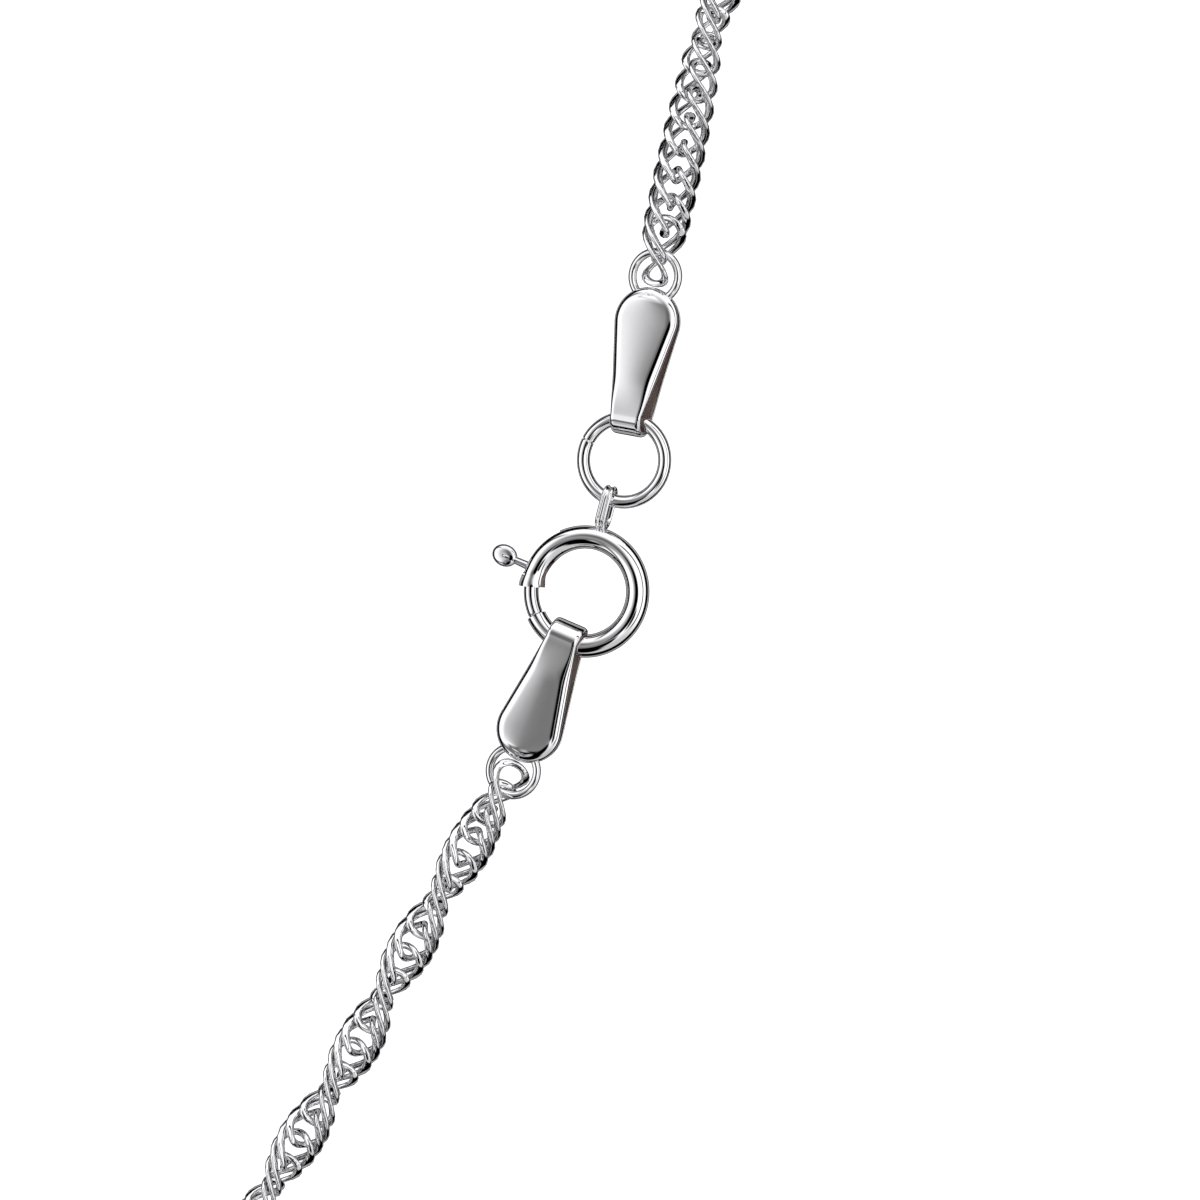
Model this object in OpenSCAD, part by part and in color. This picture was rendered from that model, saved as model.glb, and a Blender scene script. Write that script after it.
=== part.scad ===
// Twisted Singapore neck chain with folded end tags, a jump ring and a spring ring clasp,
// laid flat as one open loop. All lengths are in millimetres.

/* [Chain links] */
// Distance between the middles of neighbouring links
link_pitch = 1.24; // [1.2:0.02:1.34]
// Width of a link over its wire
link_w = 2.2; // [2.1:0.05:2.4]
// Width of the link's wire at its two long sides, across the link
side_wire_w = 0.44; // [0.4:0.01:0.48]
// Width of the link's wire at its two ends
end_wire_w = 0.32; // [0.28:0.01:0.34]
// Thickness of the link's wire
wire_t = 0.3; // [0.26:0.01:0.32]
// Clear room between two links that hook into each other
link_play = 0.22; // [0.2:0.01:0.26]
// Fullness of the link's oval: 1 is an ellipse, less is squarer
oval_power = 0.87; // [0.84:0.01:0.95]
// Twist of one link about its own length, in degrees for each millimetre
link_twist = 44; // [43:1:46]
// Offset of the link's corners out of its plane
corner_lift = 0.26; // [0.24:0.01:0.28]

/* [Chain twist] */
// Length of chain in which it turns over once
half_turn_l = 5.1; // [4.8:0.1:7]
// Links modelled one by one next to the upper tag
upper_links = 31; // [16:1:34]
// Links modelled one by one next to the lower tag
lower_links = 44; // [22:1:46]

/* [Spring ring] */
// Outer diameter of the spring ring
ring_d = 6; // [5.6:0.1:7]
// Diameter of the spring ring's tube
tube_d = 1.06; // [1:0.02:1.2]
// Thickness of the wall around the bolt's seat, where the tube narrows
seat_wall = 0.06; // [0.05:0.01:0.09]
// Diameter of the flared mouth that the bolt slides out of
mouth_d = 1.3; // [1.24:0.02:1.4]
// Thickness of the thinnest tube wall, on the outside of the ring
tube_wall = 0.09; // [0.07:0.01:0.12]
// Diameter of the sliding bolt
bolt_d = 0.68; // [0.6:0.02:0.7]
// Room around the bolt in its tube
bolt_play = 0.045; // [0.03:0.005:0.06]
// Diameter of the lever's stem
stem_d = 0.42; // [0.36:0.02:0.46]
// Room each side of the stem in its slot
slot_play = 0.07; // [0.05:0.01:0.1]
// Diameter of the lever's round knob
knob_d = 1.05; // [0.9:0.05:1.2]
// Thickness of the lever's knob
knob_t = 0.5; // [0.44:0.02:0.6]
// Distance of the knob's middle from the middle of the ring
knob_reach = 4.1; // [3.9:0.1:4.5]
// Width of the seam on the inside of the mouth
seam_w = 0.26; // [0.2:0.02:0.34]

/* [Ring eye] */
// Width of the strap that makes the eye
eye_w = 0.5; // [0.4:0.02:0.6]
// Thickness of the eye's strap
eye_t = 0.2; // [0.16:0.01:0.24]
// Clear reach of the eye beyond the ring's outside
eye_reach = 1.76; // [1.6:0.02:2]
// Clear height of the eye between its two legs
eye_room = 0.84; // [0.8:0.02:0.96]

/* [Jump ring] */
// Outer diameter of the jump ring
jump_d = 4.4; // [4:0.1:5]
// Thickness of the jump ring's wire
jump_wire = 0.6; // [0.5:0.02:0.66]
// Room that the jump ring keeps in the eye and in the tag
hook_play = 0.07; // [0.05:0.01:0.12]

/* [End tags] */
// Length of a tag's flat leaf, from the fold to its rounded end
leaf_l = 5.9; // [5.4:0.1:7]
// Width of the leaf at its rounded end
leaf_w = 3.05; // [2.8:0.05:3.4]
// Width of the strip at the fold
fold_w = 1.5; // [1.3:0.05:1.6]
// Thickness of the tag's sheet
sheet_t = 0.22; // [0.18:0.01:0.26]
// Room between the spring ring's tube and the fold
fold_play = 0.1; // [0.08:0.01:0.14]
// Outer diameter of the ring soldered between the leaves
end_ring_d = 2.6; // [2.4:0.05:2.9]
// Thickness of that ring's wire
end_ring_wire = 0.38; // [0.34:0.02:0.4]
// Length of that ring that stands out beyond the rounded end
end_ring_out = 1.84; // [1.76:0.02:1.9]
// Room between a leaf's rounded end and the last link, inside that ring
tip_play = 0.06; // [0.04:0.01:0.1]

/* [Hidden] */
$fn = 64;

// Depth by which soldered pieces run into each other
bite = 0.04;
// Overlap that makes a cut pass its surface, and the same for the end of a bent cut in degrees
over = 0.5;
over_turn = 1;

// Depth by which the eye's loop sinks into the outside of the tube
eye_sink = 0.12;

// Directions around the spring ring, in degrees from the +X axis
mouth_at = 175;
seat_at = 205.5;
narrow_end_at = 238;
lever_at = 156.5;
lever_travel = 37;
slot_margin = 7;
bolt_short = 1.5;
seat_depth = 10;
bolt_back = 44;
spring_room = 23;
flare_angle = 9;
seam_angle = 42;
eye_at = 75.3;
jump_at = 72.9;
upper_tag_at = 80;
lower_tag_at = 247.5;
upper_tag_roll = -7;

// Height of the middle plane of the whole necklace over the surface it lies on
chain_r = link_w / 2;
lie_z = chain_r;

// Place of the spring ring's middle in the loop
clasp_x = 56.4;
clasp_y = -18.8;

// Headings of the straight stretches of chain beside the two tags
upper_heading = 77.4;
lower_heading = 239.2;
// Length of those straight stretches
straight_l = 18;
// Chosen points of the rest of the loop, from the upper stretch round to the lower one
far_points = [
    [65, 37], [56, 56], [40.5, 70], [20.5, 77], [-1, 76.5], [-21, 69],
    [-38, 57], [-51.5, 40.5], [-61, 21], [-65, 0.5], [-64.5, -21], [-58.5, -41],
    [-46.5, -58.5], [-29.5, -71.5], [-9.5, -77.5], [11.5, -75], [29.5, -63.5]
];

// Where the chain turns over beside the tags: [distance from the route's end, turn in degrees]
upper_turns = [[0, 101], [1.24, 136], [10.54, 255], [15.9, 437]];
lower_turns = [[0, 97], [1.24, 132], [5.76, 283], [10.9, 463], [15.95, 643], [21.1, 823]];

// Facets of the links and of the plain run
link_segments = 16;
wire_sides = 6;
run_sides = 8;
run_ring_step = 5.4;
route_steps = 16;

silver = "silver";

function at(angle, reach) = [reach * cos(angle), reach * sin(angle), 0];

// Distance of a fold's bend from the middle of the ring whose bar runs through it
function fold_reach(bend_r, bar_r) =
    let (turn = asin(fold_w / 2 / bend_r))
    bend_r * cos(turn) - bar_r / cos(turn) + fold_r - hook_play;

// Spring ring
ring_r = (ring_d - tube_d) / 2;
bore_d = bolt_d + 2 * bolt_play;
bore_r = ring_d / 2 - tube_wall - bore_d / 2;
slot_w = stem_d + 2 * slot_play;
open_at = lever_at - lever_travel;
slot_at = open_at - slot_margin;
bolt_tip_at = seat_at - bolt_short;
bolt_back_at = lever_at - bolt_back;
bore_back_at = bolt_back_at - lever_travel - spring_room;

// Jump ring and eye
jump_r = (jump_d - jump_wire) / 2;
eye_in_r = eye_room / 2;
eye_out_r = eye_in_r + eye_t;
eye_top = ring_d / 2 + eye_reach;
eye_mid = eye_top - eye_in_r;
eye_foot = ring_d / 2 - eye_sink + eye_out_r;
jump_mid = eye_top - 2 * hook_play - jump_wire / 2 + jump_r;
jump_xy = at(jump_at, jump_mid);

// Tags
fold_r = tube_d / 2 + fold_play;
leaf_r = leaf_w / 2;
ring_mid = leaf_l + end_ring_out - end_ring_d / 2;
solder_x = ring_mid - (end_ring_d - end_ring_wire) / 2;
solder_z = end_ring_wire / 2 - bite;
lean = acos(solder_z / norm([fold_r, solder_x])) - atan2(solder_x, fold_r);
upper_fold = fold_reach(jump_r, jump_wire / 2);
lower_fold = fold_reach(ring_r, tube_d / 2);
upper_tag_xy = jump_xy + at(upper_tag_at, upper_fold);
lower_tag_xy = at(lower_tag_at, lower_fold);

// Links
link_mid_l = 2 * link_pitch + end_wire_w + link_play;
link_mid_w = link_w - side_wire_w;
// Distance from the middle of a tag's ring to the route's end: the ring runs through two links
first_link = end_ring_d / 2 - end_ring_wire - hook_play + (link_mid_l - end_wire_w) / 2 - link_pitch;
// Least distance of a link's middle from the route's end, for the last link to clear the leaves
end_push = max(0, leaf_l + tip_play + (link_mid_l + end_wire_w) / 2 - ring_mid - first_link);
clasp_xy = [clasp_x, clasp_y, 0];
upper_start = clasp_xy + upper_tag_xy + at(upper_tag_at, ring_mid) + at(upper_heading, first_link);
lower_start = clasp_xy + lower_tag_xy + at(lower_tag_at, ring_mid) + at(lower_heading, first_link);

// The chain's route from the upper tag's ring round to the lower tag's ring
route = concat(
    [for (k = [0 : 2]) upper_start + at(upper_heading, k * straight_l / 2)],
    [for (p = far_points) [p[0], p[1], 0]],
    [for (k = [2 : -1 : 0]) lower_start + at(lower_heading, k * straight_l / 2)]
);
last = len(route) - 1;

function route_knot(k) =
    k < 0 ? 2 * route[0] - route[1] :
    k > last ? 2 * route[last] - route[last - 1] : route[k];

function smooth(a, b, c, d, t) =
    (2 * b + (c - a) * t + (2 * a - 5 * b + 4 * c - d) * pow(t, 2)
     + (3 * b - a - 3 * c + d) * pow(t, 3)) / 2;

function on_route(k, t) =
    smooth(route_knot(k - 1), route_knot(k), route_knot(k + 1), route_knot(k + 2), t);

samples = concat(
    [for (k = [0 : last - 1]) for (j = [0 : route_steps - 1]) on_route(k, j / route_steps)],
    [route[last]]
);
lengths = [
    for (k = 0, s = 0; k < len(samples);
         s = s + (k + 1 < len(samples) ? norm(samples[k + 1] - samples[k]) : 0), k = k + 1) s
];
route_l = lengths[len(lengths) - 1];
x_of = [for (k = [0 : len(samples) - 1]) [lengths[k], samples[k][0]]];
y_of = [for (k = [0 : len(samples) - 1]) [lengths[k], samples[k][1]]];

link_count = round(route_l / link_pitch) + 1;
true_pitch = route_l / (link_count - 1);

function link_place(n) = min(max(n * true_pitch, end_push), route_l - end_push);

function place(s) = [lookup(s, x_of), lookup(s, y_of), lie_z];
function heading(s) =
    let (step = place(s + true_pitch / 2) - place(s - true_pitch / 2)) atan2(step[1], step[0]);

// Turn of the chain about its own line: the hidden run turns over every half_turn_l
upper_end_turn = upper_turns[len(upper_turns) - 1];
lower_end_turn = lower_turns[len(lower_turns) - 1];
run_turns = round((route_l - upper_end_turn[0] - lower_end_turn[0]) / half_turn_l);
full_turn = upper_end_turn[1] + lower_end_turn[1] + run_turns * 180;
turns = concat(
    upper_turns,
    [for (k = [len(lower_turns) - 1 : -1 : 0])
        [route_l - lower_turns[k][0], full_turn - lower_turns[k][1]]]
);
function roll(s) = lookup(s, turns);

function power(x) = sign(x) * pow(abs(x), oval_power);
function oval(a) =
    [link_mid_w / 2 * power(cos(a)), link_mid_l / 2 * power(sin(a)), corner_lift * sin(2 * a)];
function unit(v) = v / norm(v);
function wire_half_w(a) = (end_wire_w + (side_wire_w - end_wire_w) * pow(cos(a), 2)) / 2;

// One point of the wire's surface, a around the link and b around the wire
function wire_point(a, b) =
    let (step = 360 / link_segments,
         along = unit(oval(a + step) - oval(a - step)),
         across = unit(cross(along, [0, 0, 1])),
         up = cross(across, along))
    oval(a) + across * wire_half_w(a) * cos(b) + up * wire_t / 2 * sin(b);

function turned(p, angle) =
    [p[0] * cos(angle) - p[2] * sin(angle), p[1], p[0] * sin(angle) + p[2] * cos(angle)];

// A point given beside, along and above the chain at the distance s of its route
function on_chain(p, s) =
    let (h = heading(s), q = turned(p, link_twist * p[1] + roll(s)))
    place(s) + [q[0] * sin(h) + q[1] * cos(h), q[1] * sin(h) - q[0] * cos(h), q[2]];

wire_points = [
    for (i = [0 : link_segments - 1]) for (j = [0 : wire_sides - 1])
        wire_point(i * 360 / link_segments, j * 360 / wire_sides)
];

module links(numbers) {
    ring_points = link_segments * wire_sides;
    polyhedron(
        points = [for (n = numbers) for (p = wire_points) on_chain(p, link_place(n))],
        faces = [
            for (m = [0 : len(numbers) - 1]) for (i = [0 : link_segments - 1])
                for (j = [0 : wire_sides - 1])
                    let (here = m * ring_points + i * wire_sides,
                         next = m * ring_points + (i + 1) % link_segments * wire_sides,
                         j2 = (j + 1) % wire_sides)
                    each [[here + j, here + j2, next + j2], [here + j, next + j2, next + j]]
        ]
    );
}

// Round bar bent along the spring ring between two directions
module bent_bar(bend_r, bar_d, from, to) {
    rotate([0, 0, from])
        rotate_extrude(angle = to - from)
            translate([bend_r, 0]) circle(d = bar_d);
}

// Straight-sided groove along the ring between two radii
module bent_groove(r_in, r_out, height, from, to) {
    rotate([0, 0, from])
        rotate_extrude(angle = to - from)
            translate([r_in, -height / 2]) square([r_out - r_in, height]);
}

module eye_outline(end_r) {
    for (x = [eye_foot, eye_mid]) translate([x, 0]) circle(r = end_r);
    translate([eye_foot, -end_r]) square([eye_mid - eye_foot, 2 * end_r]);
}

// Strap bent to a long closed loop that stands on the outside of the tube
module ring_eye() {
    rotate([0, 0, eye_at]) rotate([90, 0, 0])
        translate([0, 0, -eye_w / 2])
            linear_extrude(eye_w)
                difference() {
                    eye_outline(eye_out_r);
                    eye_outline(eye_in_r);
                }
}

module clasp_body() {
    color(silver) translate([clasp_x, clasp_y, lie_z]) difference() {
        union() {
            bent_bar(ring_r, tube_d, narrow_end_at - 360, mouth_at);
            bent_bar(bore_r, bore_d + 2 * seat_wall, seat_at, narrow_end_at + over_turn);
            bent_bar(bore_r, mouth_d, mouth_at - flare_angle, mouth_at);
            ring_eye();
        }
        bent_bar(bore_r, bore_d, bore_back_at, mouth_at + over_turn);
        bent_bar(bore_r, bore_d, seat_at - over_turn, seat_at + seat_depth);
        bent_groove(bore_r, ring_d / 2 + over, slot_w, slot_at, mouth_at + over_turn);
        bent_groove(bore_r - mouth_d, bore_r, seam_w, mouth_at - seam_angle, mouth_at + over_turn);
    }
}

// Round knob with a rolled rim
module knob() {
    cylinder(d = knob_d - knob_t, h = knob_t - 2 * bite, center = true);
    rotate_extrude() translate([(knob_d - knob_t) / 2, 0]) circle(d = knob_t);
}

module clasp_bolt() {
    color(silver) translate([clasp_x, clasp_y, lie_z]) {
        bent_bar(bore_r, bolt_d, bolt_back_at, bolt_tip_at);
        translate(at(bolt_tip_at, bore_r)) sphere(d = bolt_d - bite);
        rotate([0, 0, lever_at]) {
            translate([bore_r, 0, 0]) rotate([0, 90, 0])
                cylinder(d = stem_d, h = knob_reach - bore_r);
            translate([knob_reach, 0, 0]) knob();
        }
    }
}

module jump_ring() {
    color(silver) translate(clasp_xy + jump_xy + [0, 0, lie_z])
        rotate_extrude() translate([jump_r, 0]) circle(d = jump_wire);
}

// Outline of a leaf: straight sides that run into the rounded end
module leaf_outline() {
    end_x = leaf_l - leaf_r;
    touch = atan2(end_x, fold_w / 2) + asin(leaf_r / norm([end_x, fold_w / 2]));
    touch_x = end_x + leaf_r * cos(touch);
    touch_y = leaf_r * sin(touch);
    polygon([[0, -fold_w / 2], [touch_x, -touch_y], [touch_x, touch_y], [0, fold_w / 2]]);
    translate([end_x, 0]) circle(r = leaf_r);
}

module leaf() {
    rotate([0, lean, 0])
        translate([0, 0, fold_r]) linear_extrude(sheet_t) leaf_outline();
}

// Folded strip around the bend at the origin, leaves towards +X, with its soldered ring
module tag() {
    rotate([90, 0, 0]) rotate([0, 0, 90 - lean])
        rotate_extrude(angle = 180 + 2 * lean)
            translate([fold_r, -fold_w / 2]) square([sheet_t, fold_w]);
    leaf();
    mirror([0, 0, 1]) leaf();
    translate([ring_mid, 0, 0])
        rotate_extrude() translate([(end_ring_d - end_ring_wire) / 2, 0]) circle(d = end_ring_wire);
}

module upper_tag() {
    color(silver) translate(clasp_xy + upper_tag_xy + [0, 0, lie_z])
        rotate([0, 0, upper_tag_at]) rotate([upper_tag_roll, 0, 0]) tag();
}

module lower_tag() {
    color(silver) translate(clasp_xy + lower_tag_xy + [0, 0, lie_z])
        rotate([0, 0, lower_tag_at]) tag();
}

module upper_chain() {
    color(silver) links([for (n = [0 : upper_links - 1]) n]);
}

module lower_chain() {
    color(silver) links([for (n = [0 : lower_links - 1]) link_count - 1 - n]);
}

// Plain round run in the chain's place around the far side of the loop
module chain_run() {
    run_from = (upper_links - 1) * true_pitch + link_mid_l / 2 + end_wire_w;
    run_to = route_l - (lower_links - 1) * true_pitch - link_mid_l / 2 - end_wire_w;
    rings = ceil((run_to - run_from) / run_ring_step);
    points = [
        for (k = [0 : rings]) for (j = [0 : run_sides - 1])
            let (s = run_from + (run_to - run_from) * k / rings, h = heading(s),
                 a = (j + 0.5) * 360 / run_sides)
            place(s) + chain_r * [sin(h) * cos(a), -cos(h) * cos(a), sin(a)]
    ];
    color(silver) polyhedron(
        points = points,
        faces = concat(
            [[for (j = [run_sides - 1 : -1 : 0]) j]],
            [for (k = [0 : rings - 1]) for (j = [0 : run_sides - 1])
                let (j2 = (j + 1) % run_sides)
                [k * run_sides + j, k * run_sides + j2,
                 (k + 1) * run_sides + j2, (k + 1) * run_sides + j]],
            [[for (j = [0 : run_sides - 1]) rings * run_sides + j]]
        )
    );
}

clasp_body();
clasp_bolt();
jump_ring();
upper_tag();
lower_tag();
upper_chain();
lower_chain();
chain_run();
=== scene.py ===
import math

import bmesh
import bpy
import numpy as np
from mathutils import Matrix, Vector


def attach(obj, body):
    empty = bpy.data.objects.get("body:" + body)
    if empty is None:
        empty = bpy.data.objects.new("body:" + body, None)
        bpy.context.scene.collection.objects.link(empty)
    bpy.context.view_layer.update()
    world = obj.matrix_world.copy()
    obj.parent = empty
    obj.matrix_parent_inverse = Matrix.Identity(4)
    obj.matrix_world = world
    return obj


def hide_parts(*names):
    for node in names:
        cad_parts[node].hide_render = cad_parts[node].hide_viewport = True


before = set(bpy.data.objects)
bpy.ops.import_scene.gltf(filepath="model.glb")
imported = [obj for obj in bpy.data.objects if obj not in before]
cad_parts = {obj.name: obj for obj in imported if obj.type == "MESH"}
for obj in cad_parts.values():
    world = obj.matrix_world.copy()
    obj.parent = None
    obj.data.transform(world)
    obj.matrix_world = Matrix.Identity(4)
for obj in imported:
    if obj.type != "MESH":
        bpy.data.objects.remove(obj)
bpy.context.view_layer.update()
mm = 0.001  # lengths below are in millimetres and become metres when a mesh is made
print("frame loaded:", ", ".join(sorted(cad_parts)))

# Where the clasp lies in the loop, as in the frame
clasp = {"x": 56.4, "y": -18.8, "middleZ": 1.1}
claspAt = np.array([clasp["x"], clasp["y"], clasp["middleZ"]])


def polar(degrees, reach):
    a = math.radians(degrees)
    return np.array([reach * math.cos(a), reach * math.sin(a), 0.0])


def smoothStep(x):
    x = np.clip(x, 0.0, 1.0)
    return x * x * (3 - 2 * x)


def turnMatrix(degrees, axis):
    return np.array(Matrix.Rotation(math.radians(degrees), 3, axis))


# Materials

def toLinear(hexColour):
    values = [int(hexColour[i:i + 2], 16) / 255 for i in (1, 3, 5)]
    return [v / 12.92 if v <= 0.04045 else ((v + 0.055) / 1.055) ** 2.4 for v in values] + [1.0]


def addNode(tree, kind, settings=None, inputs=None):
    # Inputs are given by name or number, as a value or as another node's output
    node = tree.nodes.new(kind)
    for key, value in (settings or {}).items():
        setattr(node, key, value)
    for key, value in (inputs or {}).items():
        if isinstance(value, bpy.types.NodeSocket):
            tree.links.new(value, node.inputs[key])
        else:
            node.inputs[key].default_value = value
    return node


# What the polish leaves on all the metals: slow waves in the surface and patches of finer grain
polish = {
    "wave": 0.5,  # mm between the soft waves of a hand-polished surface
    "waveDepth": 0.0012,  # mm
    "smear": 0.6,  # mm, grain of the polish, drawn coarser than the real one so that it shows
    "smearFrom": 0.35, "smearTo": 0.7,  # part of the noise that the grain's range is laid over
    "roughest": 0.055, "smoothest": 0.03,
}


def polishedMetal(name, colour, roughness=1.0, waves=1.0, metallic=1.0):
    material = bpy.data.materials.new(name)
    material.use_nodes = True
    tree = material.node_tree
    shader = tree.nodes["Principled BSDF"]
    shader.inputs["Base Color"].default_value = toLinear(colour)
    shader.inputs["Metallic"].default_value = metallic
    place = addNode(tree, "ShaderNodeTexCoord")
    wave = addNode(tree, "ShaderNodeTexNoise", inputs={
        "Vector": place.outputs["Object"], "Scale": 1 / (polish["wave"] * mm), "Detail": 1.0})
    smear = addNode(tree, "ShaderNodeTexNoise", inputs={
        "Vector": place.outputs["Object"], "Scale": 1 / (polish["smear"] * mm), "Detail": 3.0})
    rough = addNode(tree, "ShaderNodeMapRange", inputs={
        "Value": smear.outputs[0], "From Min": polish["smearFrom"], "From Max": polish["smearTo"],
        "To Min": polish["smoothest"] * roughness, "To Max": polish["roughest"] * roughness})
    bump = addNode(tree, "ShaderNodeBump", inputs={
        "Strength": 1.0, "Distance": polish["waveDepth"] * waves * mm, "Height": wave.outputs[0]})
    tree.links.new(rough.outputs[0], shader.inputs["Roughness"])
    tree.links.new(bump.outputs[0], shader.inputs["Normal"])
    return material


# Clasp and rings: silver, tumbled and plated with rhodium, a white mirror with hard dark lines
rhodiumSilver = polishedMetal("rhodiumPlatedSilver", "#EFEFF1")
# End tags: plated silver sheet, stamped between smooth dies, with calm broad reflections
stampedSheet = polishedMetal("stampedSilverSheet", "#ECECEE", waves=0.7)
# Chain: drawn silver wire cut bright with a diamond tool, the sharpest glints of all
diamondCutWire = polishedMetal("diamondCutSilverWire", "#EFEFF1", roughness=0.8)
# Bolt: plated spring steel wire, barrel polished, a shade greyer than the silver
springSteel = polishedMetal("platedSpringSteel", "#E4E4E8")
# Inside faces of the tube and of the folded strip: a dull brown grey metal, darker than the plating,
# painted shade where little light reaches
paintedShadeMetal = polishedMetal("paintedShadeSilver", "#9C8C86", roughness=6.0, metallic=0.35)


# Meshes

# Collects grids of points, and the faces between them, for one closed mesh
class Shell:
    def __init__(self):
        self.points, self.faces, self.slots, self.count = [], [], [], 0

    def grid(self, points, slot=0, closed=False):
        points = np.asarray(points, float)
        rows, columns = points.shape[:2]
        self.points.append(points.reshape(-1, 3))
        for i in range(rows - 1):
            for j in range(columns if closed else columns - 1):
                k = (j + 1) % columns
                near, far = self.count + i * columns, self.count + (i + 1) * columns
                self.faces.append([near + j, near + k, far + k, far + j])
                self.slots.append(slot)
        self.count += rows * columns


def makePiece(name, shell, materials, sharp=38, merge=2e-4):
    # Edges bent by more degrees than sharp stay hard; points within merge millimetres become one
    verts = np.vstack(shell.points) * mm
    mesh = bpy.data.meshes.new(name)
    mesh.from_pydata(verts.tolist(), [], shell.faces)
    for material in materials:
        mesh.materials.append(material)
    mesh.polygons.foreach_set("material_index", shell.slots)
    bm = bmesh.new()
    bm.from_mesh(mesh)
    bmesh.ops.remove_doubles(bm, verts=bm.verts, dist=merge * mm)
    bmesh.ops.dissolve_degenerate(bm, edges=bm.edges, dist=merge * mm * 0.1)
    bmesh.ops.recalc_face_normals(bm, faces=bm.faces)
    for face in bm.faces:
        face.smooth = True
    for edge in bm.edges:
        edge.smooth = len(edge.link_faces) == 2 and edge.calc_face_angle() < math.radians(sharp)
    bm.to_mesh(mesh)
    bm.free()
    piece = bpy.data.objects.new(name, mesh)
    bpy.context.scene.collection.objects.link(piece)
    return piece


def finishPiece(piece, body, slot, *nodes):
    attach(piece, body)
    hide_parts(*nodes)


def ringGrid(ringR, wireR, turns, sides, centre=(0, 0, 0), startAngle=0.0, wire=None):
    # Torus around Z; wire(a) may scale the wire's radius along the ring
    a = np.radians(startAngle + np.arange(turns) * 360 / turns)[:, None]
    b = np.radians(np.arange(sides) * 360 / sides)[None, :]
    r = wireR * (wire(np.degrees(a)) if wire else 1.0)
    points = np.stack([(ringR + r * np.cos(b)) * np.cos(a), (ringR + r * np.cos(b)) * np.sin(a),
                       r * np.sin(b) + 0 * a], axis=-1) + np.array(centre)
    return np.concatenate([points, points[:1]])


# Spring ring: rolled tube with a flared mouth, a slot for the lever and a seam that opens at the mouth
springRing = {
    "outerD": 6.0, "tubeD": 1.06,
    "boltD": 0.68, "boltPlay": 0.045, "tubeWall": 0.09, "seatWall": 0.06,
    "mouthAt": 175.0, "seatAt": 205.5, "narrowEndAt": 238.0, "narrowing": 3.0,
    "flareTurn": 22.0, "flare": 0.12, "flarePower": 1.5,
    "slotAt": 112.5, "slotLow": -0.28, "slotHigh": 0.3,  # heights of the slot's edges, mm
    "lipAt": 159.0, "lipTurn": 6.0, "lipLow": 0.06, "lipHigh": 0.48,  # then both edges rise
    "seamTurn": 58.0, "seamHalf": 0.46,
    "stepDegrees": 1.5, "sides": 20,
}


def buildSpringRing(s):
    shell = Shell()
    ringR = (s["outerD"] - s["tubeD"]) / 2
    boreRadius = s["boltD"] / 2 + s["boltPlay"]
    boreR = s["outerD"] / 2 - s["tubeWall"] - boreRadius
    start, end = s["seatAt"] - 360, s["mouthAt"]
    seamStart = end - s["seamTurn"]

    def around(u, v, middle, radius):
        a = np.radians(u)
        reach = middle + radius * np.cos(v)
        return np.stack([reach * np.cos(a), reach * np.sin(a), radius * np.sin(v) + 0 * a], axis=-1)

    def outerSection(u):
        narrow = smoothStep((s["narrowEndAt"] - 360 + s["narrowing"] - u) / s["narrowing"])
        flare = smoothStep(1 - (end - u) / s["flareTurn"]) ** s["flarePower"]
        radius = s["tubeD"] / 2 + s["flare"] * flare
        return radius + (boreRadius + s["seatWall"] - radius) * narrow, ringR + (boreR - ringR) * narrow

    def outer(u, v):
        radius, middle = outerSection(u)
        return around(u, v, middle, radius)

    def bore(u, v):
        return around(u, v, boreR, boreRadius)

    def edgeAngle(u, height, inside):
        radius = boreRadius if inside else outerSection(u)[0]
        return math.asin(max(-1.0, min(1.0, height / radius)))

    def slotEdge(u, inside, low, high):
        return edgeAngle(u, low + (high - low) * smoothStep((u - s["lipAt"]) / s["lipTurn"]), inside)

    def slotTop(u, inside):
        return slotEdge(u, inside, s["slotHigh"], s["lipHigh"])

    def slotBottom(u, inside):
        return slotEdge(u, inside, s["slotLow"], s["lipLow"])

    def seamTop(u, inside):
        return math.pi - edgeAngle(u, s["seamHalf"] * max(0.0, (u - seamStart) / s["seamTurn"]), inside)

    def seamBottom(u, inside):
        return 2 * math.pi - seamTop(u, inside)

    us = np.unique(np.concatenate([
        np.arange(start, end, s["stepDegrees"]), [start, end, s["slotAt"], seamStart]]))
    parts = np.linspace(0, 1, s["sides"] + 1)

    def strip(low, high, uList, inside, material):
        rows = []
        for u in uList:
            v = low(u, inside) + (high(u, inside) - low(u, inside)) * parts
            rows.append((bore if inside else outer)(np.full_like(v, u), v))
        shell.grid(rows, material)

    def endFace(u, low, high):
        rows = []
        for t in parts:
            v0, v1 = (low(u, i) + (high(u, i) - low(u, i)) * t for i in (False, True))
            rows.append([outer(u, v0), bore(u, v1)])
        shell.grid(rows, 0)

    def wrapBottom(u, inside):
        return 2 * math.pi + slotBottom(u, inside)

    # Bore faces take material 1, the dull dark metal painted as shade inside the tube
    for inside in (False, True):
        material = 1 if inside else 0
        strip(slotTop, seamTop, us, inside, material)
        strip(seamBottom, wrapBottom, us, inside, material)
        strip(slotBottom, slotTop, us[us <= s["slotAt"] + 1e-6], inside, material)
    # Seam faces take material 1, painted shade; the slot's edges stay plated silver
    edges = ((slotTop, s["slotAt"], 0), (slotBottom, s["slotAt"], 0),
             (seamTop, seamStart, 1), (seamBottom, seamStart, 1))
    for edge, first, material in edges:
        rim = us[us >= first - 1e-6]
        shell.grid([[outer(u, edge(u, False)), bore(u, edge(u, True))] for u in rim], material)
    for u in (start, end):
        endFace(u, slotTop, seamTop)
        endFace(u, seamBottom, wrapBottom)
    endFace(start, seamTop, seamBottom)
    endFace(start, slotBottom, slotTop)
    endFace(s["slotAt"], slotBottom, slotTop)
    return shell


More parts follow.
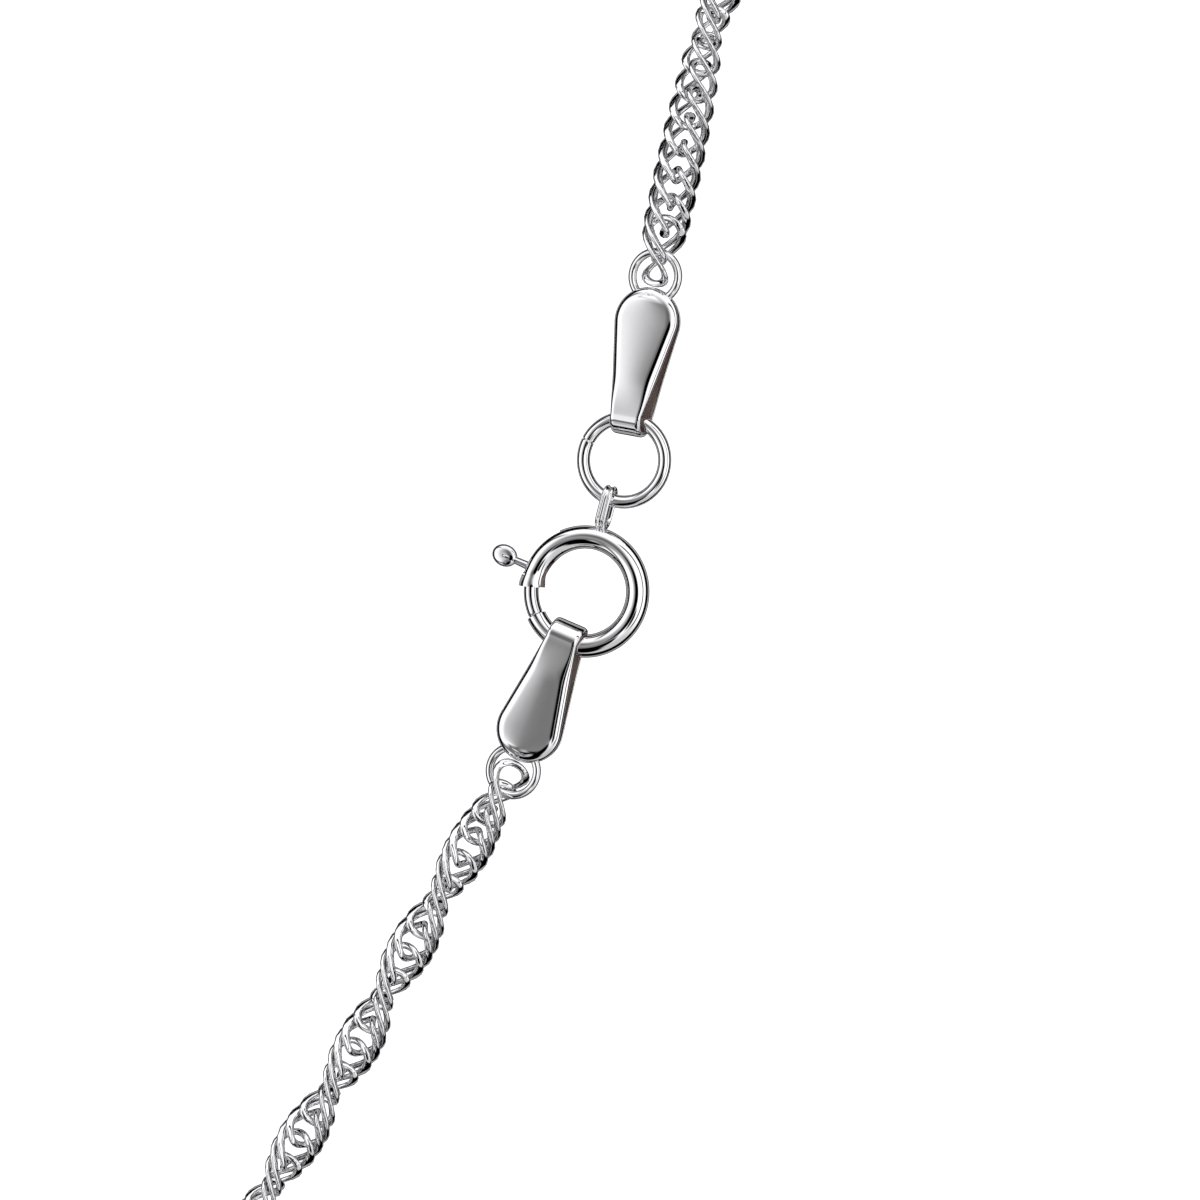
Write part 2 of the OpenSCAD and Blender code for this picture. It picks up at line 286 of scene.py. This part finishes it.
# Eye: a grooved strap bent to a long closed loop, soldered to the outside of the tube
ringEye = {
    "at": 75.3, "width": 0.5, "thick": 0.2, "reach": 1.76, "room": 0.84, "sink": 0.12,
    "grooveW": 0.2, "grooveDepth": 0.07, "edgeDrop": 0.75, "edgePower": 5, "groovePower": 4,
    "underEdge": 0.96, "underFace": 0.8, "underRise": 0.03,
    "sectionSteps": 24, "bendSteps": 22, "legSteps": 8,
}


def buildRingEye(shell, s, outerR):
    inner = s["room"] / 2
    far = outerR + s["reach"] - inner
    near = outerR - s["sink"] + inner + s["thick"]
    half = s["width"] / 2
    # Strap's section as distance across and height over its inner face: two rounded ridges and a groove
    section = []
    for t in np.linspace(-1, 1, s["sectionSteps"] + 1):
        ridge = s["thick"] * math.sqrt(1 - s["edgeDrop"] * abs(t) ** s["edgePower"])
        groove = s["grooveDepth"] * math.exp(-(t * half / (s["grooveW"] / 2)) ** s["groovePower"])
        section.append((t * half, ridge - groove))
    edge, face = half * s["underEdge"], half * s["underFace"]
    section += [(edge, s["underRise"]), (face, 0.0), (-face, 0.0), (-edge, s["underRise"])]
    stations = []
    for a in np.linspace(90, -90, s["bendSteps"] + 1):
        stations.append((far, a))
    for a in np.linspace(270, 90, s["bendSteps"] + 1):
        stations.append((near, a))
    rows = []
    for (x0, a0), (x1, a1) in zip(stations, stations[1:] + stations[:1]):
        between = np.linspace(0, 1, s["legSteps"] + 1)[:-1] if x0 != x1 else [0.0]
        for t in between:
            c, n = math.cos(math.radians(a0)), math.sin(math.radians(a0))
            middle = x0 + (x1 - x0) * t
            rows.append([(middle + (inner + h) * c, w, (inner + h) * n) for w, h in section])
    rows.append(rows[0])
    shell.grid(np.array(rows) @ turnMatrix(s["at"], "Z").T, 0, closed=True)


ringShell = buildSpringRing(springRing)
buildRingEye(ringShell, ringEye, springRing["outerD"] / 2)
ringShell.points = [p + claspAt for p in ringShell.points]
# Second material: dull dark metal painted as shade on the bore and seam faces
springRingPiece = makePiece("springRing", ringShell, [rhodiumSilver, paintedShadeMetal])
finishPiece(springRingPiece, "necklace", "clasp_silver", "clasp_body")
print("spring ring made")

# Bolt that slides in the tube, with the lever's stem and its flat round knob
bolt = {
    "wire": 0.68, "reach": 2.525, "tipAt": 204.0, "backAt": 112.5,
    "leverAt": 156.5, "stem": 0.42, "stemTip": 0.3,
    # Along the stem, as parts of its length: where it climbs onto the knob, and where its end rounds off
    "climbAt": 0.55, "climbLong": 0.35, "endAt": 0.88, "endLong": 0.12,
    "stemPast": 0.12, "climb": 0.16, "thinner": 0.35, "flatter": 0.3,
    "knobReach": 4.1, "knobLong": 1.24, "knobWide": 1.0, "knobThick": 0.52,
    "knobSlope": 0.09, "knobDish": 0.012, "rimPower": 0.75, "facePower": 0.8,
    "steps": 60, "sides": 24, "tipSteps": 9, "stemSteps": 23, "knobSteps": 24, "tipPart": 0.3,
}


def buildBolt(s):
    shell = Shell()
    r = s["wire"] / 2
    tip = math.degrees(r / s["reach"])
    tipStart = s["tipAt"] - tip * s["tipPart"]
    us, scale = list(np.linspace(s["backAt"], tipStart, s["steps"])), [1.0] * s["steps"]
    for a in np.linspace(0, 90, s["tipSteps"] + 1)[1:]:
        us.append(tipStart + tip * math.sin(math.radians(a)))
        scale.append(max(math.cos(math.radians(a)), 1e-4))
    b = np.radians(np.arange(s["sides"]) * 360 / s["sides"])
    rows = []
    for u, k in zip([us[0]] + us, [1e-4] + scale):
        a = math.radians(u)
        reach = s["reach"] + r * k * np.cos(b)
        rows.append(np.stack([reach * math.cos(a), reach * math.sin(a), r * k * np.sin(b)], axis=-1))
    shell.grid(rows, 0, closed=True)

    # Stem: a round wire from the bolt that flattens to a ridge across the knob
    turn = turnMatrix(s["leverAt"], "Z").T
    rows = []
    for t in np.linspace(0, 1, s["stemSteps"] + 1):
        x = s["reach"] + (s["knobReach"] + s["stemPast"] - s["reach"]) * t
        over = smoothStep((t - s["climbAt"]) / s["climbLong"])
        wide = (s["stem"] + (s["stemTip"] - s["stem"]) * t) / 2 * (1 - over * s["thinner"])
        high = s["stem"] / 2 * (1 - over * s["flatter"])
        close = math.sqrt(max(0.0, 1 - max(0, (t - s["endAt"]) / s["endLong"]) ** 2)) + 1e-4
        rows.append(np.stack([np.full(s["sides"], x), wide * close * np.cos(b),
                              over * s["climb"] + high * close * np.sin(b)], axis=-1))
    shell.grid(np.array(rows) @ turn, 0, closed=True)
    # Knob: a coined disc with a round edge and a shallow dish
    rows = []
    for a in np.linspace(-90, 90, s["knobSteps"] + 1):
        e = math.radians(a)
        reach = abs(math.cos(e)) ** s["rimPower"]
        dish = s["knobDish"] * (1 - reach) ** 2
        z = (s["knobThick"] / 2 - dish) * math.copysign(abs(math.sin(e)) ** s["facePower"], math.sin(e))
        out = s["knobLong"] / 2 * reach * np.cos(b)
        rows.append(np.stack([s["knobReach"] + out, s["knobWide"] / 2 * reach * np.sin(b),
                              z - out * s["knobSlope"]], axis=-1))
    shell.grid(np.array(rows) @ turn, 0, closed=True)
    shell.points = [p + claspAt for p in shell.points]
    return shell


boltPiece = makePiece("boltLever", buildBolt(bolt), [springSteel])
finishPiece(boltPiece, "bolt", "bolt_steel", "clasp_bolt")
print("bolt made")

# Jump ring: round wire whose two cut ends meet in a fine line
jumpRing = {
    "outerD": 4.4, "wire": 0.6, "at": 72.9, "reach": 6.22,
    "seamAt": 152.0, "seamDepth": 0.06, "seamWide": 0.7, "turns": 240, "sides": 28,
}


def buildJumpRing(s):
    def seam(a):
        away = (a - s["seamAt"] + 180) % 360 - 180
        return 1 - s["seamDepth"] / (s["wire"] / 2) * np.exp(-(away / s["seamWide"]) ** 2)

    shell = Shell()
    middle = claspAt + polar(s["at"], s["reach"])
    shell.grid(ringGrid((s["outerD"] - s["wire"]) / 2, s["wire"] / 2, s["turns"], s["sides"],
                        middle, s["seamAt"], seam), 0, closed=True)
    return shell


jumpRingPiece = makePiece("jumpRing", buildJumpRing(jumpRing), [rhodiumSilver])
finishPiece(jumpRingPiece, "necklace", "clasp_silver", "jump_ring")
print("jump ring made")

# End tags: one strip of sheet stamped with rolled edges and folded over, with a ring soldered in its end
endTag = {
    "leafL": 5.9, "leafW": 3.05, "foldW": 1.5, "sheet": 0.22,
    "foldR": 0.63,  # inside radius of the fold
    "lean": 5.1395,  # degrees by which each leaf leans to the other
    "rollWide": 0.42, "rollDeep": 0.27, "foldRollWide": 0.2, "foldRollDeep": 0.12,
    "lip": 0.035, "lipSteps": 6, "rollGrowth": 2.2,
    "crown": 0.07, "crownFull": 1.0,  # mm: rise of the leaf's middle, half width from which it is full
    "crownLeast": 0.2,  # mm, least half width that the rise is worked out with
    "ringD": 2.6, "ringWire": 0.38, "ringAt": 6.44,
    "straightSteps": 24, "endSteps": 30, "foldSteps": 28, "rollSteps": 10, "acrossSteps": 12,
    "ringTurns": 120, "ringSides": 20, "edgeColumns": 4,  # columns of the edge that keep the plated silver, clear of the painted shade
}
# Each tag's fold as a shift from the clasp's middle, then its heading and its roll about its own length
tagPlaces = {
    "upperTag": {"node": "upper_tag", "shift": (2.17261, 7.89416), "heading": 80.0, "roll": -7.0},
    "lowerTag": {"node": "lower_tag", "shift": (-0.90203, -2.17769), "heading": 247.5, "roll": 0.0},
}


def tagSection(s, wide, deep):
    # Rolled edge as distance from the edge and height: the top outwards, then round the lip and back
    top = []
    for g in np.linspace(0, 90, s["rollSteps"] + 1):
        top.append((wide * (1 - math.sin(math.radians(g))), -deep * (1 - math.cos(math.radians(g)))))
    lip = s["lip"]
    under = []
    for g in np.linspace(0, 180, s["lipSteps"] + 1)[1:]:
        under.append((lip * (1 - math.cos(math.radians(g))), -deep - lip * math.sin(math.radians(g))))
    innerWide, innerDeep = wide - 2 * lip, max(deep - s["sheet"] + lip, lip)
    for g in np.linspace(90, 0, s["rollSteps"] + 1)[1:]:
        height = -s["sheet"] - innerDeep * (1 - math.cos(math.radians(g)))
        under.append((2 * lip + innerWide * (1 - math.sin(math.radians(g))), height))
    return top, under


def buildTag(s):
    shell = Shell()
    leafR = s["leafW"] / 2
    endX = s["leafL"] - leafR
    touch = math.atan2(endX, s["foldW"] / 2) + math.asin(leafR / math.hypot(endX, s["foldW"] / 2))
    touchX, touchY = endX + leafR * math.cos(touch), leafR * math.sin(touch)
    slant = math.atan2(touchY - s["foldW"] / 2, touchX)
    side = np.array([touchX, touchY - s["foldW"] / 2])
    normal = np.array([math.sin(slant), -math.cos(slant)])  # towards the leaf's middle

    def outline(step, distance):
        # Point of the outline offset inwards by distance; step runs from the fold to the rounded tip
        if step <= s["straightSteps"]:
            t = step / s["straightSteps"]
            slide = (t - 1) * math.tan(slant)
            along = np.array([math.cos(slant), math.sin(slant)])
            return np.array([0, s["foldW"] / 2]) + side * t + (normal + along * slide) * distance
        a = touch * (1 - (step - s["straightSteps"]) / s["endSteps"])
        return np.array([endX, 0]) + (leafR - distance) * np.array([math.cos(a), math.sin(a)])

    steps = s["straightSteps"] + s["endSteps"]
    rows = []

    def sectionRow(place, wide, deep):
        # place(distance, height, side) gives a point; side runs from 1 at the strip's +Y edge to -1
        top, under = tagSection(s, wide, deep)
        right = [place(*point, 1) for point in top + under]
        left = [place(*point, -1) for point in top + under]
        across = np.linspace(1, -1, 2 * s["acrossSteps"] + 1)[1:-1]
        mid = [place(*top[0], t) for t in across]
        midUnder = [place(*under[-1], t) for t in across]
        return mid[::-1] + right + midUnder + left[::-1]

    def crownAt(y, halfW):
        return s["crown"] * (1 - (y / halfW) ** 2) * min(1.0, halfW / s["crownFull"])

    def leafRow(step):
        near = smoothStep((step / s["straightSteps"]) * s["rollGrowth"])
        wide = s["foldRollWide"] + (s["rollWide"] - s["foldRollWide"]) * near
        deep = s["foldRollDeep"] + (s["rollDeep"] - s["foldRollDeep"]) * near
        edge = outline(step, 0)[1]

        def place(d, z, t):
            x, y = outline(step, d)
            y = y * t
            rise = 0.0 if step >= steps else crownAt(y, max(edge, s["crownLeast"]))
            return (x, y, s["foldR"] + s["sheet"] + z + rise * near)

        return sectionRow(place, wide, deep)

    def foldRow(angle):
        # angle about the fold's axis, from the upper leaf to the lower one
        a = math.radians(angle)

        def place(d, z, t):
            r = s["foldR"] + s["sheet"] + z
            return (r * math.cos(a), (s["foldW"] / 2 - d) * t, r * math.sin(a))

        return sectionRow(place, s["foldRollWide"], s["foldRollDeep"])

    lean = turnMatrix(s["lean"], "Y").T
    flip = np.array([1, 1, -1])
    for step in range(steps, 0, -1):
        rows.append(np.array(leafRow(step)) @ lean)
    for angle in np.linspace(90 - s["lean"], 270 + s["lean"], s["foldSteps"] + 1):
        rows.append(np.array(foldRow(angle)))
    for step in range(1, steps + 1):
        rows.append(np.array(leafRow(step)) @ lean * flip)
    shell.grid(rows, 0, closed=True)
    # Inside faces of the strip take the dull dark metal of the painted shade
    topCount = s["rollSteps"] + 1
    underCount = s["lipSteps"] + s["rollSteps"]
    midCount = 2 * s["acrossSteps"] - 1
    insideFrom = midCount + topCount + s["edgeColumns"]
    insideTo = 2 * midCount + topCount + 2 * underCount - s["edgeColumns"]
    columns = len(rows[0])
    shell.slots = [int(insideFrom <= i % columns < insideTo) for i in range(len(shell.slots))]
    shell.grid(ringGrid((s["ringD"] - s["ringWire"]) / 2, s["ringWire"] / 2, s["ringTurns"], s["ringSides"],
                        (s["ringAt"], 0, 0)), 0, closed=True)
    return shell


def buildTags():
    for name, place in tagPlaces.items():
        shell = buildTag(endTag)
        turn = turnMatrix(place["heading"], "Z") @ turnMatrix(place["roll"], "X")
        shift = claspAt + np.array([*place["shift"], 0])
        shell.points = [p @ turn.T + shift for p in shell.points]
        # Second material paints shade on the strip's inside faces
        piece = makePiece(name, shell, [stampedSheet, paintedShadeMetal], sharp=50)
        finishPiece(piece, "necklace", "tag_silver", place["node"])


buildTags()
print("end tags made")

# Chain: double curb, each oval link twisted in itself and hooked through the next two
chain = {
    "pitch": 1.24, "width": 2.2, "sideWire": 0.44, "endWire": 0.32, "wireT": 0.3,
    "play": 0.22, "ovalPower": 0.87, "linkTwist": 44.0, "cornerLift": 0.26,
    "halfTurn": 5.1, "hookPlay": 0.07, "tipPlay": 0.06,
    "nearTop": 31, "nearBottom": 44,  # links that are modelled finely beside the two tags
    "fineRings": 36, "fineSides": 16, "farRings": 12, "farSides": 5,
    "squareness": 0.85,  # less makes the wire's section squarer, as diamond cutting does
    "headingStep": 20.0,  # degrees to each side over which the wire's heading is taken
    "upperHeading": 77.4, "lowerHeading": 239.2, "straight": 18.0, "routeSteps": 16,
}
# The rest of the loop, from the upper tag's side round to the lower tag's
farPoints = [
    (65, 37), (56, 56), (40.5, 70), (20.5, 77), (-1, 76.5), (-21, 69),
    (-38, 57), (-51.5, 40.5), (-61, 21), (-65, 0.5), (-64.5, -21), (-58.5, -41),
    (-46.5, -58.5), (-29.5, -71.5), (-9.5, -77.5), (11.5, -75), (29.5, -63.5),
]
# Where the chain turns over beside the tags: distance from the route's end, turn in degrees
upperTurns = [(0, 101), (1.24, 136), (10.54, 255), (15.9, 437)]
lowerTurns = [(0, 97), (1.24, 132), (5.76, 283), (10.9, 463), (15.95, 643), (21.1, 823)]


def firstLinkReach(s):
    # From the middle of a tag's ring, which runs through the last two links, to the route's end
    return endTag["ringD"] / 2 - endTag["ringWire"] - s["hookPlay"] + s["play"] / 2


def chainRoute(s):
    starts = []
    for name, heading in (("upperTag", s["upperHeading"]), ("lowerTag", s["lowerHeading"])):
        place = tagPlaces[name]
        starts.append(claspAt + np.array([*place["shift"], 0])
                      + polar(place["heading"], endTag["ringAt"]) + polar(heading, firstLinkReach(s)))
    knots = [starts[0] + polar(s["upperHeading"], k * s["straight"] / 2) for k in range(3)]
    knots += [np.array([x, y, clasp["middleZ"]]) for x, y in farPoints]
    knots += [starts[1] + polar(s["lowerHeading"], k * s["straight"] / 2) for k in (2, 1, 0)]
    # Catmull-Rom curve through the knots
    padded = [2 * knots[0] - knots[1]] + knots + [2 * knots[-1] - knots[-2]]
    samples = []
    for a, b, c, d in zip(padded, padded[1:], padded[2:], padded[3:]):
        for t in np.arange(s["routeSteps"]) / s["routeSteps"]:
            samples.append((2 * b + (c - a) * t + (2 * a - 5 * b + 4 * c - d) * t ** 2
                            + (3 * b - a - 3 * c + d) * t ** 3) / 2)
    samples.append(knots[-1])
    samples = np.array(samples)
    lengths = np.concatenate([[0], np.cumsum(np.linalg.norm(np.diff(samples, axis=0), axis=1))])
    return samples, lengths


def chainTurns(s, length):
    runTurns = round((length - upperTurns[-1][0] - lowerTurns[-1][0]) / s["halfTurn"])
    fullTurn = upperTurns[-1][1] + lowerTurns[-1][1] + runTurns * 180
    return upperTurns + [(length - d, fullTurn - t) for d, t in reversed(lowerTurns)]


def linkPoints(s, rings, sides):
    midL = 2 * s["pitch"] + s["endWire"] + s["play"]
    midW = s["width"] - s["sideWire"]

    def power(x, p):
        return np.sign(x) * np.abs(x) ** p

    def oval(a):
        return np.stack([midW / 2 * power(np.cos(a), s["ovalPower"]),
                         midL / 2 * power(np.sin(a), s["ovalPower"]),
                         s["cornerLift"] * np.sin(2 * a)], axis=-1)

    def unit(v):
        return v / np.linalg.norm(v, axis=-1, keepdims=True)

    a = np.arange(rings) * 2 * math.pi / rings
    step = math.radians(s["headingStep"])
    along = unit(oval(a + step) - oval(a - step))
    beside = unit(np.cross(along, [0, 0, 1]))
    up = np.cross(beside, along)
    halfW = (s["endWire"] + (s["sideWire"] - s["endWire"]) * np.cos(a) ** 2) / 2
    b = np.arange(sides) * 2 * math.pi / sides
    wide = halfW[:, None] * power(np.cos(b), s["squareness"])
    high = s["wireT"] / 2 * power(np.sin(b), s["squareness"])
    p = oval(a)[:, None] + beside[:, None] * wide[..., None] + up[:, None] * high[..., None]
    twist = np.radians(s["linkTwist"]) * p[..., 1]
    return np.stack([p[..., 0] * np.cos(twist) - p[..., 2] * np.sin(twist), p[..., 1],
                     p[..., 0] * np.sin(twist) + p[..., 2] * np.cos(twist)], axis=-1)


def makeLink(name, rings, sides):
    shell = Shell()
    points = linkPoints(chain, rings, sides)
    shell.grid(np.concatenate([points, points[:1]]), 0, closed=True)
    return makePiece(name, shell, [diamondCutWire], sharp=60)


# Lays a link at each point of a curve, turned about it by the curve's own tilt
def linksTree():
    tree = bpy.data.node_groups.new("linksAlongRoute", "GeometryNodeTree")
    face = tree.interface
    face.new_socket("Route", in_out="INPUT", socket_type="NodeSocketGeometry")
    sockets = {}
    for name, kind in (("Link", "NodeSocketObject"), ("First Link", "NodeSocketInt"),
                       ("Last Link", "NodeSocketInt"), ("Wire", "NodeSocketMaterial")):
        sockets[name] = face.new_socket(name, in_out="INPUT", socket_type=kind).identifier
    face.new_socket("Links", in_out="OUTPUT", socket_type="NodeSocketGeometry")
    given = tree.nodes.new("NodeGroupInput")
    out = given.outputs
    tilt = addNode(tree, "GeometryNodeInputNamedAttribute", {"data_type": "FLOAT"}, {"Name": "tilt"})
    back = addNode(tree, "ShaderNodeMath", {"operation": "MULTIPLY"}, {0: tilt.outputs[0], 1: -1.0})
    tangent = addNode(tree, "GeometryNodeInputTangent")
    heading = addNode(tree, "FunctionNodeAxesToRotation", {"primary_axis": "Y", "secondary_axis": "Z"},
                      {0: tangent.outputs[0], 1: (0.0, 0.0, 1.0)})
    roll = addNode(tree, "FunctionNodeAxisAngleToRotation", None,
                   {"Axis": (0.0, 1.0, 0.0), "Angle": back.outputs[0]})
    turned = addNode(tree, "FunctionNodeRotateRotation", {"rotation_space": "LOCAL"},
                     {0: heading.outputs[0], 1: roll.outputs[0]})
    number = addNode(tree, "GeometryNodeInputIndex")
    fromFirst = addNode(tree, "FunctionNodeCompare", {"data_type": "INT", "operation": "GREATER_EQUAL"},
                        {2: number.outputs[0], 3: out["First Link"]})
    toLast = addNode(tree, "FunctionNodeCompare", {"data_type": "INT", "operation": "LESS_EQUAL"},
                     {2: number.outputs[0], 3: out["Last Link"]})
    chosen = addNode(tree, "FunctionNodeBooleanMath", {"operation": "AND"},
                     {0: fromFirst.outputs[0], 1: toLast.outputs[0]})
    link = addNode(tree, "GeometryNodeObjectInfo", None, {"Object": out["Link"]})
    laid = addNode(tree, "GeometryNodeInstanceOnPoints", None, {
        "Points": out["Route"], "Selection": chosen.outputs[0], "Instance": link.outputs["Geometry"],
        "Rotation": turned.outputs[0]})
    real = addNode(tree, "GeometryNodeRealizeInstances", None, {0: laid.outputs[0]})
    metal = addNode(tree, "GeometryNodeSetMaterial", None, {0: real.outputs[0], "Material": out["Wire"]})
    addNode(tree, "NodeGroupOutput", None, {0: metal.outputs[0]})
    return tree, sockets


def buildChain(s):
    samples, lengths = chainRoute(s)
    length = lengths[-1]
    turns = chainTurns(s, length)
    count = round(length / s["pitch"]) + 1
    print(f"chain route {length:.2f} mm, {count} links")
    # One point for each link; the first and the last link are pushed clear of the tags' leaves
    halfLink = s["pitch"] + s["endWire"] + s["play"] / 2
    push = max(0.0, endTag["leafL"] + s["tipPlay"] + halfLink - endTag["ringAt"] - firstLinkReach(s))
    stops = np.clip(np.linspace(0, length, count), push, length - push)
    at = np.stack([np.interp(stops, lengths, samples[:, i]) for i in range(3)], axis=-1)
    tilts = np.radians(np.interp(stops, [d for d, _ in turns], [t for _, t in turns]))
    curve = bpy.data.curves.new("chainRoute", "CURVE")
    curve.dimensions = "3D"
    spline = curve.splines.new("POLY")
    spline.points.add(len(stops) - 1)
    spline.points.foreach_set("co", np.column_stack([at * mm, np.ones(len(stops))]).ravel())
    spline.points.foreach_set("tilt", tilts)
    route = bpy.data.objects.new("chainRoute", curve)
    bpy.context.scene.collection.objects.link(route)

    fine = makeLink("fineLink", s["fineRings"], s["fineSides"])
    far = makeLink("farLink", s["farRings"], s["farSides"])
    tree, sockets = linksTree()
    spans = (("upperLinks", fine, 0, s["nearTop"] - 1, "upper_chain"),
             ("farLinks", far, s["nearTop"], count - s["nearBottom"] - 1, "chain_run"),
             ("lowerLinks", fine, count - s["nearBottom"], count - 1, "lower_chain"))
    for name, link, first, last, node in spans:
        modifier = route.modifiers.new(name, "NODES")
        modifier.node_group = tree
        for key, value in (("Link", link), ("First Link", first), ("Last Link", last),
                           ("Wire", diamondCutWire)):
            modifier[sockets[key]] = value
        graph = bpy.context.evaluated_depsgraph_get()
        mesh = bpy.data.meshes.new_from_object(route.evaluated_get(graph), depsgraph=graph)
        mesh.name = name
        route.modifiers.remove(modifier)
        piece = bpy.data.objects.new(name, mesh)
        bpy.context.scene.collection.objects.link(piece)
        finishPiece(piece, "necklace", "chain_silver", node)
        print(name, len(mesh.polygons), "faces")
    for spare in (route, fine, far):
        bpy.data.objects.remove(spare)


buildChain(chain)
print("chain made")

# Studio: white floor, a bright tent with dark cards, and the camera over the clasp
studio = {
    "tilt": 15.0,  # degrees from straight above towards +X
    "distance": 600.0, "pxPerMm": 22.1, "imagePx": 1200, "sensor": 36.0,
    "claspPx": (585.0, 591.5),  # where the spring ring's middle is in the picture
    "white": 1.3, "floorSize": 3000.0, "floorGlow": 1.25,
    "shownSoft": 5,  # degrees of soft end on a band that is shown in part
}
# Soft dark cards round the camera's opening. Places are degrees from its axis, to the picture's right
# and upwards; then the inner and outer radius of the soft edge and the darkness
cards = [
    (-10, -4, 13, 19, 1.0), (9, -21, 6, 12, 1.0), (-20, -33, 11, 16, 1.0), (-29, -52, 14, 22, 1.0),
    (-22, 14, 5, 36, 0.88), (-30, -17, 4, 23, 0.8), (0, -78, 25, 60, 0.5),
]
# Dark bands: middle, radius from and to, softness, darkness, then middle and radius of the part shown
bands = [
    (10, 0, 39, 48, 2, 1.0, 38, 6, 45), (-60, 8, 31, 42, 3, 0.85, -88, 0, 52),
    (0, 0, 84, 121, 3, 1.0, 0, 0, 200), (0, 0, 121, 144, 3, 0.7, 0, 0, 200),
    (0, 0, 144, 200, 3, 1.0, 0, 0, 200),
]


def buildCamera(s):
    tilt = math.radians(s["tilt"])
    back = Vector((math.sin(tilt), 0, math.cos(tilt)))
    right = Vector((math.cos(tilt), 0, -math.sin(tilt)))
    up = Vector((0, 1, 0))
    middle = s["imagePx"] / 2
    target = (Vector(claspAt) + right * ((middle - s["claspPx"][0]) / s["pxPerMm"])
              + up * ((s["claspPx"][1] - middle) / s["pxPerMm"]))
    data = bpy.data.cameras.new("camera")
    data.sensor_width = s["sensor"]
    data.lens = s["sensor"] * s["distance"] * s["pxPerMm"] / s["imagePx"]
    data.clip_start, data.clip_end = 0.01, 20
    camera = bpy.data.objects.new("camera", data)
    camera.matrix_world = Matrix.Translation((target + back * s["distance"]) * mm) @ Matrix(
        (right, up, back)).transposed().to_4x4()
    bpy.context.scene.collection.objects.link(camera)
    bpy.context.scene.camera = camera


def buildFloor(s):
    half = s["floorSize"] / 2 * mm
    mesh = bpy.data.meshes.new("floor")
    corners = [(-half, -half, 0), (half, -half, 0), (half, half, 0), (-half, half, 0)]
    mesh.from_pydata(corners, [], [(0, 1, 2, 3)])
    floor = bpy.data.objects.new("floor", mesh)
    bpy.context.scene.collection.objects.link(floor)
    # Smooth white paper, lit so evenly that it shows no grain and no shadow
    material = bpy.data.materials.new("litWhitePaper")
    material.use_nodes = True
    tree = material.node_tree
    tree.nodes.clear()
    glow = addNode(tree, "ShaderNodeEmission", None, {"Strength": s["floorGlow"]})
    addNode(tree, "ShaderNodeOutputMaterial", None, {0: glow.outputs[0]})
    mesh.materials.append(material)
    floor.visible_glossy = False


def buildTent(s):
    world = bpy.data.worlds.new("tent")
    world.use_nodes = True
    tree = world.node_tree
    tree.nodes.clear()
    direction = addNode(tree, "ShaderNodeTexCoord").outputs["Generated"]
    tilt = math.radians(s["tilt"])
    right = Vector((math.cos(tilt), 0, -math.sin(tilt)))
    up = Vector((0, 1, 0))
    axis = Vector((math.sin(tilt), 0, math.cos(tilt)))
    light = addNode(tree, "ShaderNodeValue").outputs[0]
    light.default_value = 1.0

    def towards(x, y):
        away, a = math.radians(math.hypot(x, y)), math.atan2(y, x)
        return axis * math.cos(away) + (right * math.cos(a) + up * math.sin(a)) * math.sin(away)

    def angleFrom(place):
        dot = addNode(tree, "ShaderNodeVectorMath", {"operation": "DOT_PRODUCT"}, {0: direction, 1: place})
        angle = addNode(tree, "ShaderNodeMath", {"operation": "ARCCOSINE"}, {0: dot.outputs["Value"]})
        return angle.outputs[0]

    def softStep(value, low, high):
        return addNode(tree, "ShaderNodeMapRange", {"interpolation_type": "SMOOTHSTEP"}, {
            "Value": value, "From Min": math.radians(low), "From Max": math.radians(high)}).outputs[0]

    def both(first, second):
        return addNode(tree, "ShaderNodeMath", {"operation": "MULTIPLY"}, {0: first, 1: second}).outputs[0]

    def darken(light, mask, amount):
        part = addNode(tree, "ShaderNodeMath", {"operation": "MULTIPLY_ADD"}, {0: mask, 1: -amount, 2: 1.0})
        return both(light, part.outputs[0])

    for x, y, inner, outer, amount in cards:
        light = darken(light, softStep(angleFrom(towards(x, y)), outer, inner), amount)
    for x, y, low, high, soft, amount, shownX, shownY, shownTo in bands:
        away = angleFrom(towards(x, y))
        band = both(softStep(away, low - soft, low + soft), softStep(away, high + soft, high - soft))
        toShown, end = angleFrom(towards(shownX, shownY)), s["shownSoft"]
        light = darken(light, both(band, softStep(toShown, shownTo + end, shownTo - end)), amount)
    # The metal sees the tent, the camera a plain white
    tent = addNode(tree, "ShaderNodeBackground", None, {"Color": light, "Strength": s["white"]})
    plain = addNode(tree, "ShaderNodeBackground", None, {"Color": (1, 1, 1, 1), "Strength": s["white"]})
    ray = addNode(tree, "ShaderNodeLightPath")
    mixed = addNode(tree, "ShaderNodeMixShader", None, {
        0: ray.outputs["Is Camera Ray"], 1: tent.outputs[0], 2: plain.outputs[0]})
    addNode(tree, "ShaderNodeOutputWorld", None, {0: mixed.outputs[0]})
    bpy.context.scene.world = world


buildCamera(studio)
buildFloor(studio)
buildTent(studio)
bpy.context.scene.view_settings.view_transform = "Standard"
print("studio made")
